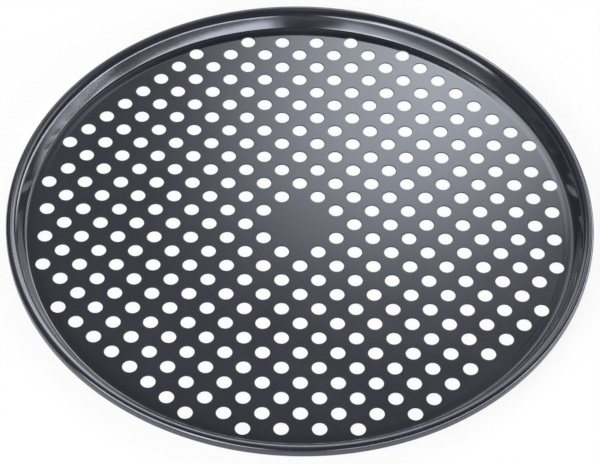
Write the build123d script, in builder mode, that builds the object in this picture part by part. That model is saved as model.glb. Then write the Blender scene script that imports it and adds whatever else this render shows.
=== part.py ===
from build123d import *
from math import cos, degrees, hypot, pi, radians, sin, sqrt, tan
import os

# A perforated pizza pan, in millimetres. Z is up, and the origin is the centre of the underside.

# The sheet: a flat floor, a corner, a straight flared wall and a shoulder that bends over to level.
# Radii are those of the side that shows.
floor_diameter = 300.0
sheet_thickness = 0.5
corner_radius = 2.0
wall_flare = 26.5
wall_length = 6.7
shoulder_radius = 5.0

# The rolled edge and the wire inside it
wire_diameter = 4.5
wire_clearance = 0.1
wire_play = 0.8
wire_butt_gap = 1.0
edge_bend_share = 0.69
roll_slot = 1.0

# The holes, on a square grid that is turned by 45 degrees
hole_diameter = 8.0
hole_bridge = 6.142
hole_land = 1.0
punch_overrun = 1.0

os.makedirs("parts", exist_ok=True)

# The wall rises from the corner at this angle from the floor
floor_radius = floor_diameter / 2
wall_slope = radians(90 - wall_flare)
wall_foot_x = floor_radius + corner_radius * sin(wall_slope)
wall_foot_z = sheet_thickness + corner_radius * (1 - cos(wall_slope))

# The top of the rim, where the shoulder ends
crest_x = wall_foot_x + wall_length * cos(wall_slope) + shoulder_radius * sin(wall_slope)
crest_z = wall_foot_z + wall_length * sin(wall_slope) + shoulder_radius * (1 - cos(wall_slope))

# The edge bends down, runs upright and bends back under, with room for the wire between top and lip
wire_radius = wire_diameter / 2
edge_radius = edge_bend_share * wire_radius + sheet_thickness
bead_depth = wire_diameter + wire_play + 2 * sheet_thickness
side_height = bead_depth - 2 * edge_radius
overall_radius = crest_x + edge_radius

# The lip stops short of the wall's outer side, so the roll is closed but for a narrow slot
lip_top_z = crest_z - bead_depth + sheet_thickness
wall_back_x = wall_foot_x + (lip_top_z - wall_foot_z) / tan(wall_slope) + sheet_thickness / sin(wall_slope)
lip_length = crest_x - wall_back_x - roll_slot

# The wire lies on the lip and against the upright side of the roll
wire_ring_radius = overall_radius - sheet_thickness - wire_clearance - wire_radius
wire_centre_z = lip_top_z + wire_clearance + wire_radius
wire_sweep = 360 * (1 - wire_butt_gap / (2 * pi * wire_ring_radius))

# Rows of holes lie this far apart, and so do the columns
row_spacing = (hole_diameter + hole_bridge) / sqrt(2)
hole_field_radius = floor_radius - hole_land - hole_diameter / 2


def hole_places():
    # Every second crossing of rows and columns has a hole, but for the four nearest to the centre
    steps = int(hole_field_radius / row_spacing) + 1
    places = []
    for row in range(-steps, steps + 1):
        for column in range(-steps, steps + 1):
            x, y = column * row_spacing, row * row_spacing
            if (row + column) % 2 == 1 and abs(row) + abs(column) > 1 and hypot(x, y) < hole_field_radius:
                places.append((x, y))
    return places


# The pan: one sheet with its floor, wall and rolled edge, then the punched holes
with BuildPart() as pan_shell:
    with BuildSketch(Plane.XZ) as shell_section:
        with BuildLine() as shown_side:
            floor_line = Line((0, sheet_thickness), (floor_radius, sheet_thickness))
            corner_arc = JernArc(floor_line @ 1, floor_line % 1, corner_radius, degrees(wall_slope))
            wall_line = Line(corner_arc @ 1, corner_arc @ 1 + (corner_arc % 1) * wall_length)
            shoulder_arc = JernArc(wall_line @ 1, wall_line % 1, shoulder_radius, -degrees(wall_slope))
            edge_arc = JernArc(shoulder_arc @ 1, shoulder_arc % 1, edge_radius, -90)
            side_line = Line(edge_arc @ 1, edge_arc @ 1 + (edge_arc % 1) * side_height)
            under_arc = JernArc(side_line @ 1, side_line % 1, edge_radius, -90)
            lip_line = Line(under_arc @ 1, under_arc @ 1 + (under_arc % 1) * lip_length)
            offset(amount=sheet_thickness, side=Side.RIGHT)
        make_face()
    revolve(axis=Axis.Z)
    with BuildSketch() as hole_pattern:
        with Locations(*hole_places()):
            Circle(hole_diameter / 2)
    extrude(amount=sheet_thickness + punch_overrun, both=True, mode=Mode.SUBTRACT)
pan_shell.part.label = "pan_shell"
export_step(pan_shell.part, "parts/pan_shell.step")

# The rim wire: a ring inside the roll, with a small gap where its ends butt
with BuildPart() as rim_wire:
    with BuildSketch(Plane.XZ) as wire_section:
        with Locations((wire_ring_radius, wire_centre_z)):
            Circle(wire_radius)
    revolve(axis=Axis.Z, revolution_arc=wire_sweep)
rim_wire.part.label = "rim_wire"
export_step(rim_wire.part, "parts/rim_wire.step")

print("overall diameter", round(2 * overall_radius, 2), "height", round(crest_z, 2))
print("roll width", round(overall_radius - wall_back_x, 2), "depth", round(bead_depth, 2))
print("holes", len(hole_places()), "rows", round(row_spacing, 3), "apart")
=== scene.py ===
# Dresses the round perforated pizza pan: its coated sheet, the wire in its rim, a pale table and soft lamps.
import math

import bmesh
import bpy
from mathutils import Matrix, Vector
from mathutils.geometry import delaunay_2d_cdt


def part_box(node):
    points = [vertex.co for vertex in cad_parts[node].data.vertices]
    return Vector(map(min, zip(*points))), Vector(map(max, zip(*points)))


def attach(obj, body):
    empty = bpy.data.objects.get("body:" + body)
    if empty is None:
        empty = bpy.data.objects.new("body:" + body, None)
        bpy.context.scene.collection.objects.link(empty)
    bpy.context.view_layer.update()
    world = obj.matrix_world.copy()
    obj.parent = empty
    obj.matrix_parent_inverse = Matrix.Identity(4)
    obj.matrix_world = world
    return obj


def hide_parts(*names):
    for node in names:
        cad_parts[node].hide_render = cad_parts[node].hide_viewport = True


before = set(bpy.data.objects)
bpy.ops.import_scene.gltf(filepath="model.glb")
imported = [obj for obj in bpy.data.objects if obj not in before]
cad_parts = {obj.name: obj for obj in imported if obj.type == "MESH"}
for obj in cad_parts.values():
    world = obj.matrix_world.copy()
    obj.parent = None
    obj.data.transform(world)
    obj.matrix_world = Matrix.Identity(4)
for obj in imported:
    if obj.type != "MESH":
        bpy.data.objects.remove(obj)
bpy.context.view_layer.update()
panLow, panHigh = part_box("pan_shell")
panReach = min(panHigh.x, panHigh.y, -panLow.x, -panLow.y)      # stays inside the solid's box on all sides
print("frame loaded, pan", round(2 * panReach, 4), "m across")


# Helpers that every piece uses

axis = (0, 0)                  # the pan's axis, and the middle of the table
quarter = math.pi / 2          # a quarter turn


def newPiece(name, bm, material, smoothUnder):
    # edges that turn by fewer degrees than smoothUnder are shaded smooth
    mesh = bpy.data.meshes.new(name)
    bm.normal_update()
    bm.to_mesh(mesh)
    bm.free()
    mesh.shade_smooth()
    mesh.set_sharp_from_angle(angle=math.radians(smoothUnder))
    mesh.materials.append(material)
    piece = bpy.data.objects.new(name, mesh)
    bpy.context.scene.collection.objects.link(piece)
    return piece


def ringOf(bm, centre, radius, height, steps):
    # one closed loop of vertices, level, starting on the +X side
    ring = []
    for k in range(steps):
        turn = 2 * math.pi * k / steps
        x = centre[0] + radius * math.cos(turn)
        y = centre[1] + radius * math.sin(turn)
        ring.append(bm.verts.new((x, y, height)))
    return ring


def skinRings(bm, lower, upper):
    # quads between two closed loops; the side that shows is on the right of the way lower to upper
    count = len(lower)
    for k in range(count):
        after = (k + 1) % count
        bm.faces.new((lower[k], lower[after], upper[after], upper[k]))


def arc(centreX, centreZ, radius, fromTurn, toTurn, steps):
    # points of a section arc with their outward directions, turns in radians from +X towards +Z
    points = []
    for k in range(steps + 1):
        turn = fromTurn + (toTurn - fromTurn) * k / steps
        away = Vector((math.cos(turn), math.sin(turn)))
        points.append((Vector((centreX, centreZ)) + radius * away, away))
    return points


# Node helpers

def node(tree, kind, **settings):
    made = tree.nodes.new(kind)
    for key, value in settings.items():
        setattr(made, key, value)
    return made


def wire(tree, source, target):
    tree.links.new(source, target)


def maths(tree, operation, first, second=None, clamp=False):
    # a Math node; inputs are numbers or sockets
    made = node(tree, "ShaderNodeMath", operation=operation, use_clamp=clamp)
    for socket, value in zip(made.inputs, (first, second)):
        if value is None:
            continue
        if isinstance(value, (int, float)):
            socket.default_value = value
        else:
            wire(tree, value, socket)
    return made.outputs["Value"]


def colourBetween(tree, first, second, mask):
    made = node(tree, "ShaderNodeMix", data_type="RGBA")
    made.inputs["A"].default_value = first
    made.inputs["B"].default_value = second
    wire(tree, mask, made.inputs["Factor"])
    return made.outputs["Result"]


def valueBetween(tree, low, high, mask):
    made = node(tree, "ShaderNodeMapRange")
    wire(tree, mask, made.inputs["Value"])
    made.inputs["To Min"].default_value = low
    made.inputs["To Max"].default_value = high
    return made.outputs["Result"]


def newGroup(name, inputs, outputs):
    # a shader node group with named number inputs (name, default) and outputs
    group = bpy.data.node_groups.new(name, "ShaderNodeTree")
    for title, default in inputs:
        socket = group.interface.new_socket(title, in_out="INPUT", socket_type="NodeSocketFloat")
        socket.default_value = default
    for title in outputs:
        group.interface.new_socket(title, in_out="OUTPUT", socket_type="NodeSocketFloat")
    return group, node(group, "NodeGroupInput"), node(group, "NodeGroupOutput")


def place(tree, group, **values):
    # puts a group into a material with its own values
    made = node(tree, "ShaderNodeGroup", node_tree=group)
    for title, value in values.items():
        made.inputs[title].default_value = value
    return made


# Effects that more than one finish uses

noiseMiddle = 0.5              # a noise wavers around this
nearAxis = 0.0001              # keeps a division by the distance from the axis clear of zero


def withContrast(group, noise, contrast):
    # spreads a noise around its middle and keeps it from 0 to 1
    centred = maths(group, "SUBTRACT", noise, noiseMiddle)
    spread = maths(group, "MULTIPLY", centred, contrast)
    return maths(group, "ADD", spread, noiseMiddle, clamp=True)


def ownCoordinates(group):
    # the object's own x, y and z
    coords = node(group, "ShaderNodeTexCoord")
    split = node(group, "ShaderNodeSeparateXYZ")
    wire(group, coords.outputs["Object"], split.inputs["Vector"])
    return list(split.outputs)


def fromAxis(group, x, y):
    # the distance from the pan's axis
    squares = maths(group, "ADD", maths(group, "MULTIPLY", x, x), maths(group, "MULTIPLY", y, y))
    return maths(group, "SQRT", squares)


def mottleGroup():
    # slow cloudy variation, from 0 to 1 after contrast
    inputs = (("Size", 0.02), ("Contrast", 2.0), ("Detail", 3.0))
    group, given, result = newGroup("mottle", inputs, ("Mask",))
    coords = node(group, "ShaderNodeTexCoord")
    cloud = node(group, "ShaderNodeTexNoise")
    wire(group, coords.outputs["Object"], cloud.inputs["Vector"])
    wire(group, maths(group, "DIVIDE", 1.0, given.outputs["Size"]), cloud.inputs["Scale"])
    wire(group, given.outputs["Detail"], cloud.inputs["Detail"])
    wire(group, withContrast(group, cloud.outputs["Fac"], given.outputs["Contrast"]), result.inputs["Mask"])
    return group


def turnedLinesGroup():
    # fine lines that run round the axis, as rolling and drawing leave them
    inputs = (("Spacing", 0.0004), ("Length", 0.05), ("Contrast", 2.0))
    group, given, result = newGroup("turnedLines", inputs, ("Height",))
    x, y, z = ownCoordinates(group)
    reach = fromAxis(group, x, y)
    around = maths(group, "DIVIDE", reach, given.outputs["Length"])
    safeReach = maths(group, "MAXIMUM", reach, nearAxis)
    join = node(group, "ShaderNodeCombineXYZ")
    for along, socket in ((x, "X"), (y, "Y")):
        share = maths(group, "DIVIDE", along, safeReach)
        wire(group, maths(group, "MULTIPLY", share, around), join.inputs[socket])
    wire(group, maths(group, "DIVIDE", reach, given.outputs["Spacing"]), join.inputs["Z"])
    lines = node(group, "ShaderNodeTexNoise", noise_dimensions="4D")
    lines.inputs["Scale"].default_value = 1.0
    wire(group, join.outputs["Vector"], lines.inputs["Vector"])
    wire(group, maths(group, "DIVIDE", z, given.outputs["Spacing"]), lines.inputs["W"])
    wire(group, withContrast(group, lines.outputs["Fac"], given.outputs["Contrast"]), result.inputs["Height"])
    return group


def sunkenEdgeGroup():
    # height of a level sheet that dips smoothly between two distances from the axis, from 0 to -1
    inputs = (("Inner", 0.143), ("Outer", 0.150))
    group, given, result = newGroup("sunkenEdge", inputs, ("Height",))
    x, y = ownCoordinates(group)[:2]
    dip = node(group, "ShaderNodeMapRange", interpolation_type="SMOOTHSTEP")
    wire(group, fromAxis(group, x, y), dip.inputs["Value"])
    wire(group, given.outputs["Inner"], dip.inputs["From Min"])
    wire(group, given.outputs["Outer"], dip.inputs["From Max"])
    dip.inputs["To Min"].default_value = 0
    dip.inputs["To Max"].default_value = -1
    wire(group, dip.outputs["Result"], result.inputs["Height"])
    return group


mottle = mottleGroup()
turnedLines = turnedLinesGroup()
sunkenEdge = sunkenEdgeGroup()
print("shared effects made")


# The coating: a dark grey non-stick film with a soft gloss

coating = {
    "deep": (0.0160, 0.0163, 0.0222, 1),      # film where it is thickest
    "light": (0.0205, 0.0209, 0.0285, 1),     # film where it is thin
    "glossTint": (0.82, 0.88, 1.0, 1),        # its gloss is a little blue
    "index": 1.72,
    "cloudSize": 0.030,
    "cloudContrast": 2.2,
    "cloudDetail": 4.0,
    "roughLow": 0.11,
    "roughHigh": 0.16,
    "roughFromClouds": 0.7,                   # shares of the clouds and of the fine lines in the roughness
    "roughFromLines": 0.3,
    "lineSpacing": 0.0005,
    "lineLength": 0.06,
    "lineContrast": 1.5,
    "peelSize": 0.0009,                       # width of the orange peel
    "peelHeight": 0.000002,
    "waveSize": 0.011,                        # unevenness that drawing the wall leaves in the sheet
    "waveHeight": 0.00006,
    "waveFrom": 0.1495,                       # the waves grow from the first of these radii to the second
    "waveTo": 0.1525,
    "softContrast": 1.0,                      # of peel and waves
    "softDetail": 1.0,
    "dipFrom": 0.1452,                        # the floor dips a little before its corner
    "dipTo": 0.1490,
    "dipHeight": 0.0002,
}


def coatingHeight(tree):
    # the coated sheet's fine unevenness, in metres
    soft = {"Contrast": coating["softContrast"], "Detail": coating["softDetail"]}
    peel = place(tree, mottle, Size=coating["peelSize"], **soft)
    waves = place(tree, mottle, Size=coating["waveSize"], **soft)
    drawn = place(tree, sunkenEdge, Inner=coating["waveFrom"], Outer=coating["waveTo"])
    dip = place(tree, sunkenEdge, Inner=coating["dipFrom"], Outer=coating["dipTo"])
    wavy = maths(tree, "MULTIPLY", waves.outputs["Mask"], drawn.outputs["Height"])
    height = maths(tree, "MULTIPLY", peel.outputs["Mask"], coating["peelHeight"])
    height = maths(tree, "ADD", height, maths(tree, "MULTIPLY", wavy, coating["waveHeight"]))
    return maths(tree, "ADD", height, maths(tree, "MULTIPLY", dip.outputs["Height"], coating["dipHeight"]))


def coatingMaterial():
    material = bpy.data.materials.new("darkCoating")
    material.use_nodes = True
    tree = material.node_tree
    shader = tree.nodes["Principled BSDF"]
    shader.inputs["IOR"].default_value = coating["index"]
    shader.inputs["Specular Tint"].default_value = coating["glossTint"]
    clouds = place(tree, mottle, Size=coating["cloudSize"], Contrast=coating["cloudContrast"],
                   Detail=coating["cloudDetail"])
    tint = colourBetween(tree, coating["deep"], coating["light"], clouds.outputs["Mask"])
    wire(tree, tint, shader.inputs["Base Color"])
    lines = place(tree, turnedLines, Spacing=coating["lineSpacing"], Length=coating["lineLength"],
                  Contrast=coating["lineContrast"])
    both = maths(tree, "ADD", maths(tree, "MULTIPLY", clouds.outputs["Mask"], coating["roughFromClouds"]),
                 maths(tree, "MULTIPLY", lines.outputs["Height"], coating["roughFromLines"]))
    rough = valueBetween(tree, coating["roughLow"], coating["roughHigh"], both)
    wire(tree, rough, shader.inputs["Roughness"])
    bump = node(tree, "ShaderNodeBump")
    bump.inputs["Strength"].default_value = 1.0
    bump.inputs["Distance"].default_value = 1.0      # the heights are already in metres
    wire(tree, coatingHeight(tree), bump.inputs["Height"])
    wire(tree, bump.outputs["Normal"], shader.inputs["Normal"])
    return material


# The steel of the wire: drawn, grey and a little dull

steel = {
    "bright": (0.56, 0.55, 0.53, 1),
    "dull": (0.36, 0.35, 0.34, 1),
    "cloudSize": 0.012,
    "cloudContrast": 2.5,
    "cloudDetail": 3.0,
    "roughLow": 0.28,
    "roughHigh": 0.45,
    "lineSpacing": 0.0003,
    "lineLength": 0.03,
    "lineContrast": 2.5,
    "lineHeight": 0.000006,
}


def steelMaterial():
    material = bpy.data.materials.new("drawnSteel")
    material.use_nodes = True
    tree = material.node_tree
    shader = tree.nodes["Principled BSDF"]
    shader.inputs["Metallic"].default_value = 1.0
    lines = place(tree, turnedLines, Spacing=steel["lineSpacing"], Length=steel["lineLength"],
                  Contrast=steel["lineContrast"])
    clouds = place(tree, mottle, Size=steel["cloudSize"], Contrast=steel["cloudContrast"],
                   Detail=steel["cloudDetail"])
    tint = colourBetween(tree, steel["bright"], steel["dull"], clouds.outputs["Mask"])
    wire(tree, tint, shader.inputs["Base Color"])
    rough = valueBetween(tree, steel["roughLow"], steel["roughHigh"], lines.outputs["Height"])
    wire(tree, rough, shader.inputs["Roughness"])
    bump = node(tree, "ShaderNodeBump")
    bump.inputs["Distance"].default_value = steel["lineHeight"]
    wire(tree, lines.outputs["Height"], bump.inputs["Height"])
    wire(tree, bump.outputs["Normal"], shader.inputs["Normal"])
    return material


# The pan: one sheet, with its floor, corner, wall, shoulder and rolled edge

pan = {
    "sheet": 0.0005,
    "cornerRadius": 0.0016,
    "easeRadius": 0.010,                   # the floor turns into the corner gently
    "easeTurn": math.radians(5),
    "wallFlare": math.radians(26.5),
    "wallBow": math.radians(4.5),          # the wall steepens this much from its foot to its top
    "shoulderRadius": 0.005,
    "wireDiameter": 0.0045,                # the edge is rolled around a wire, with room between top and lip
    "wirePlay": 0.0008,
    "edgeBendShare": 0.69,                 # the roll's two bends, as a share of the wire's radius
    "lipSlot": 0.001,                      # the lip stops this far from the back of the wall
    "segments": 480,                       # steps round the rim
    "sectionSteps": 12,                    # steps of each bend
    "supportShare": 0.03,                  # a straight stretch holds its shading this near to its ends
    "smoothUnder": 50,
}

holes = {
    "radius": 0.004,
    "rowSpacing": 0.010,
    "fieldRadius": 0.145,
    "steps": 40,
    "topRounding": 0.00015,                # the punch draws the upper edge in
    "roundingSteps": 3,
    "bottomRounding": 0.00006,
    "landWidth": 0.0003,                   # flat ring that keeps the shading of the floor even
}

insideLoops = 1                # the triangles between the loops only
mergeWithin = 1e-9             # points nearer than this count as one


def straight(start, end, away):
    # the inner points of a straight stretch of the section
    share = pan["supportShare"]
    return [(start.lerp(end, t), away) for t in (share, 0.5, 1 - share)]


def shownSection():
    # the side that shows, from the floor's edge over wall and roll to the lip, with outward directions
    slope = quarter - pan["wallFlare"]
    sheet, corner, shoulder = pan["sheet"], pan["cornerRadius"], pan["shoulderRadius"]
    edge = pan["edgeBendShare"] * pan["wireDiameter"] / 2 + sheet
    beadDepth = pan["wireDiameter"] + pan["wirePlay"] + 2 * sheet
    crestZ = panHigh.z
    crestX = panReach - edge
    footSlope, topSlope = slope - pan["wallBow"] / 2, slope + pan["wallBow"] / 2
    wallTopX = crestX - shoulder * math.sin(topSlope)
    wallTopZ = crestZ - shoulder * (1 - math.cos(topSlope))
    ease, easeTurn = pan["easeRadius"], pan["easeTurn"]
    cornerZ = sheet + corner + (ease - corner) * (1 - math.cos(easeTurn))
    footZ = cornerZ - corner * math.cos(footSlope)
    bowRadius = (wallTopZ - footZ) / (math.cos(footSlope) - math.cos(topSlope))
    bowX = wallTopX - bowRadius * math.sin(topSlope)
    bowZ = wallTopZ + bowRadius * math.cos(topSlope)
    cornerX = bowX + (bowRadius - corner) * math.sin(footSlope)
    steps = pan["sectionSteps"]
    easeX = cornerX - (ease - corner) * math.sin(easeTurn)
    bend = arc(easeX, sheet + ease, ease, -quarter, easeTurn - quarter, steps // 2)
    bend += arc(cornerX, cornerZ, corner, easeTurn - quarter, footSlope - quarter, steps)[1:]
    bend += arc(bowX, bowZ, bowRadius, footSlope - quarter, topSlope - quarter, steps)[1:-1]
    bend = [(point, -away) for point, away in bend]
    over = arc(crestX, crestZ - shoulder, shoulder, quarter + topSlope, quarter, steps)
    down = arc(crestX, crestZ - edge, edge, quarter, 0, steps)
    under = arc(crestX, crestZ - beadDepth + edge, edge, 0, -quarter, steps)
    side = straight(down[-1][0], under[0][0], under[0][1])
    lipZ = under[-1][0].y
    lipTopZ = lipZ + sheet
    wallAtLip = wallTopX - (wallTopZ - lipTopZ) / math.tan(slope)
    wallBackX = wallAtLip + sheet / math.sin(slope)
    lipEnd = Vector((wallBackX + pan["lipSlot"], lipZ))
    lip = straight(under[-1][0], lipEnd, under[-1][1]) + [(lipEnd, under[-1][1])]
    return bend + over + down[1:] + side + under + lip


def holePlaces():
    # every second crossing of rows and columns, but for the four nearest to the centre
    spacing = holes["rowSpacing"]
    reach = int(holes["fieldRadius"] / spacing) + 1
    places = []
    for row in range(-reach, reach + 1):
        for column in range(-reach, reach + 1):
            x, y = column * spacing, row * spacing
            if (row + column) % 2 and abs(row) + abs(column) > 1 and math.hypot(x, y) < holes["fieldRadius"]:
                places.append((x, y))
    return places


def fillFloor(bm, outerRing, holeRings, faceUp):
    # triangles between the rim and the holes, all level
    verts, edges, ringOfVert = [], [], []
    for number, ring in enumerate([outerRing] + holeRings):
        first = len(verts)
        verts += ring
        ringOfVert += [number] * len(ring)
        edges += [(first + k, first + (k + 1) % len(ring)) for k in range(len(ring))]
    flat = [vert.co.xy for vert in verts]
    faces = delaunay_2d_cdt(flat, edges, [], insideLoops, mergeWithin)[2]
    for face in faces:
        touched = {ringOfVert[k] for k in face}
        if len(touched) == 1 and 0 not in touched:
            continue      # all its corners are on one hole, so it lies inside that hole
        corners = [verts[k] for k in face]
        bm.faces.new(corners if faceUp else corners[::-1])


def punchHole(bm, place, sheet):
    # one hole from top to bottom; gives its outermost upper and lower ring
    radius, top, bottom = holes["radius"], holes["topRounding"], holes["bottomRounding"]
    land, steps = holes["landWidth"], holes["roundingSteps"]
    turns = [quarter * k / steps for k in range(steps + 1)]
    profile = [(radius + top + land, sheet)]
    profile += [(radius + top * (1 - math.sin(turn)), sheet - top * (1 - math.cos(turn))) for turn in turns]
    profile += [(radius, bottom), (radius + bottom, 0), (radius + bottom + land, 0)]
    rings = [ringOf(bm, place, across, height, holes["steps"]) for across, height in profile]
    for upper, lower in zip(rings, rings[1:]):
        skinRings(bm, upper, lower)
    return rings[0], rings[-1]


def panShell(material):
    bm = bmesh.new()
    section = shownSection()
    sheet = pan["sheet"]
    shown = [point for point, away in section]
    back = [point - sheet * away for point, away in section][::-1]
    rings = [ringOf(bm, axis, point.x, point.y, pan["segments"]) for point in shown + back]
    for inner, outer in zip(rings, rings[1:]):
        skinRings(bm, outer, inner)
    pairs = [punchHole(bm, place, sheet) for place in holePlaces()]
    fillFloor(bm, rings[0], [upper for upper, lower in pairs], True)
    fillFloor(bm, rings[-1], [lower for upper, lower in pairs], False)
    bmesh.ops.recalc_face_normals(bm, faces=bm.faces)
    return newPiece("coatedPan", bm, material, pan["smoothUnder"])


coated = panShell(coatingMaterial())
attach(coated, "root")
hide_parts("pan_shell")
print("coated pan made,", len(coated.data.polygons), "faces,", len(holePlaces()), "holes")

# The wire ring inside the roll keeps its solid and gets drawn steel

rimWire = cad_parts["rim_wire"]
rimWire.data.materials.clear()
rimWire.data.materials.append(steelMaterial())
print("rim wire finished")


# The table and the far surroundings

table = {
    "radius": 14.0,
    "segments": 128,
    "below": 0.0003,                       # keeps the table's top clear of the pan's underside
    "pale": (0.86, 0.86, 0.86, 1),
    "paler": (0.9, 0.9, 0.9, 1),
    "grainSize": 0.05,
    "grainContrast": 1.5,
    "grainDetail": 3.0,
    "glow": (1, 1, 1, 1),
    "glowShare": 0.88,                     # how much of the table's look is its own white
    "smoothUnder": 30,
}


def tableMaterial():
    material = bpy.data.materials.new("paleTable")
    material.use_nodes = True
    tree = material.node_tree
    tree.nodes.remove(tree.nodes["Principled BSDF"])
    matt = node(tree, "ShaderNodeBsdfDiffuse")
    grain = place(tree, mottle, Size=table["grainSize"], Contrast=table["grainContrast"],
                  Detail=table["grainDetail"])
    tint = colourBetween(tree, table["pale"], table["paler"], grain.outputs["Mask"])
    wire(tree, tint, matt.inputs["Color"])
    glow = node(tree, "ShaderNodeEmission")
    glow.inputs["Color"].default_value = table["glow"]
    glow.inputs["Strength"].default_value = 1.0
    path = node(tree, "ShaderNodeLightPath")
    seen = maths(tree, "ADD", path.outputs["Is Camera Ray"], path.outputs["Is Glossy Ray"])
    seen = maths(tree, "ADD", seen, path.outputs["Is Transmission Ray"], clamp=True)
    blend = node(tree, "ShaderNodeMixShader")
    wire(tree, maths(tree, "MULTIPLY", seen, table["glowShare"]), blend.inputs["Fac"])
    wire(tree, matt.outputs["BSDF"], blend.inputs[1])
    wire(tree, glow.outputs["Emission"], blend.inputs[2])
    wire(tree, blend.outputs["Shader"], tree.nodes["Material Output"].inputs["Surface"])
    return material


def makeTable():
    bm = bmesh.new()
    ring = ringOf(bm, axis, table["radius"], -table["below"], table["segments"])
    bm.faces.new(ring)
    made = newPiece("paleTable", bm, tableMaterial(), table["smoothUnder"])


makeTable()

sky = {
    "pale": (1.0, 1.0, 1.0, 1),
    "dark": (0.03, 0.03, 0.03, 1),
    "paleUpTo": 0.05,                      # how high a direction points, from 0 level to 1 straight up
    "darkFrom": 0.12,
}


def makeSky():
    # pale at the horizon, dark overhead
    world = bpy.data.worlds.new("studio")
    world.use_nodes = True
    bpy.context.scene.world = world
    tree = world.node_tree
    coords = node(tree, "ShaderNodeTexCoord")
    split = node(tree, "ShaderNodeSeparateXYZ")
    wire(tree, coords.outputs["Generated"], split.inputs["Vector"])
    rise = node(tree, "ShaderNodeMapRange")
    wire(tree, split.outputs["Z"], rise.inputs["Value"])
    rise.inputs["From Min"].default_value = sky["paleUpTo"]
    rise.inputs["From Max"].default_value = sky["darkFrom"]
    shade = colourBetween(tree, sky["pale"], sky["dark"], rise.outputs["Result"])
    wire(tree, shade, tree.nodes["Background"].inputs["Color"])


makeSky()

# Softboxes: where each one hangs as seen from the pan and how much of the view it fills, in degrees,
# how far its light fades towards its ends and towards its top and bottom, and how bright its middle is

softboxes = {
    "right": {"azimuth": 14, "elevation": 6, "span": 73, "high": 17, "fade": (16, 4), "bright": 8.1},
    "rightFront": {"azimuth": 316, "elevation": 14, "span": 80, "high": 14, "fade": (10, 1), "bright": 8.1},
    "leftFront": {"azimuth": 219, "elevation": 32, "span": 56, "high": 35, "fade": (8, 16), "bright": 8.7},
    "leftLow": {"azimuth": 226, "elevation": 15, "span": 64, "high": 18, "fade": (6, 2), "bright": 4.1},
    "leftNear": {"azimuth": 247, "elevation": 21, "span": 33, "high": 19, "fade": (5, 3), "bright": 6.5},
    "backRight": {"azimuth": 84, "elevation": 39, "span": 24, "high": 28, "fade": (12, 8), "bright": 4.3},
    "backSide": {"azimuth": 48, "elevation": 43, "span": 21, "high": 38, "fade": (1, 8), "bright": 2.2},
    "backLow": {"azimuth": 68, "elevation": 28, "span": 30, "high": 41, "fade": (5, 9), "bright": 4.1},
    "backLeft": {"azimuth": 103, "elevation": 28, "span": 49, "high": 33, "fade": (12, 12), "bright": 2.2},
    "backGlow": {"azimuth": 92, "elevation": 59, "span": 124, "high": 34, "fade": (15, 3), "bright": 0.3},
    "overhead": {"azimuth": 90, "elevation": 80, "span": 32, "high": 25, "fade": (8, 8), "bright": 1.0},
}
lampDistance = 2.0             # metres from the pan
lampMiddle = 0.5               # a lamp's own coordinates run from 0 to 1 both ways


def fadeEdges(lamp, box):
    # the light falls off smoothly towards the four edges, as behind a diffuser
    lamp.use_nodes = True
    tree = lamp.node_tree
    surface = node(tree, "ShaderNodeNewGeometry")
    split = node(tree, "ShaderNodeSeparateXYZ")
    wire(tree, surface.outputs["Parametric"], split.inputs["Vector"])
    masks = []
    for along, size, fade in (("X", box["span"], box["fade"][0]), ("Y", box["high"], box["fade"][1])):
        offCentre = maths(tree, "ABSOLUTE", maths(tree, "SUBTRACT", split.outputs[along], lampMiddle))
        inside = node(tree, "ShaderNodeMapRange", interpolation_type="SMOOTHSTEP")
        wire(tree, offCentre, inside.inputs["Value"])
        inside.inputs["From Min"].default_value = lampMiddle
        inside.inputs["From Max"].default_value = lampMiddle - fade / size
        masks.append(inside.outputs["Result"])
    wire(tree, maths(tree, "MULTIPLY", *masks), tree.nodes["Emission"].inputs["Strength"])


def hangSoftbox(name, box):
    turn, rise = math.radians(box["azimuth"]), math.radians(box["elevation"])
    away = Vector((math.cos(turn) * math.cos(rise), math.sin(turn) * math.cos(rise), math.sin(rise)))
    lamp = bpy.data.lights.new(name, "AREA")
    lamp.shape = "RECTANGLE"
    lamp.size = 2 * lampDistance * math.cos(rise) * math.tan(math.radians(box["span"]) / 2)
    lamp.size_y = 2 * lampDistance * math.tan(math.radians(box["high"]) / 2)
    lamp.energy = box["bright"] * math.pi * lamp.size * lamp.size_y
    fadeEdges(lamp, box)
    hung = bpy.data.objects.new(name, lamp)
    hung.location = away * lampDistance
    hung.rotation_mode = "QUATERNION"
    hung.rotation_quaternion = away.to_track_quat("Z", "Y")
    bpy.context.scene.collection.objects.link(hung)


for name, box in softboxes.items():
    hangSoftbox(name, box)
print("table and lamps placed")

# The camera, at the height and tilt that the photograph was taken from

shot = {
    "lens": 162.17,                        # mm
    "sensor": 36,                          # mm
    "farClip": 60,                         # metres
    "place": (-0.01735, -0.97282, 1.13125),
    "tilt": (0.70743, -0.0139, -0.0017),
}


def makeCamera():
    view = bpy.data.cameras.new("shot")
    view.lens = shot["lens"]
    view.sensor_width = shot["sensor"]
    view.clip_end = shot["farClip"]
    camera = bpy.data.objects.new("shot", view)
    camera.location = shot["place"]
    camera.rotation_euler = shot["tilt"]
    bpy.context.scene.collection.objects.link(camera)
    bpy.context.scene.camera = camera


makeCamera()
bpy.context.scene.view_settings.view_transform = "Standard"
print("camera set")
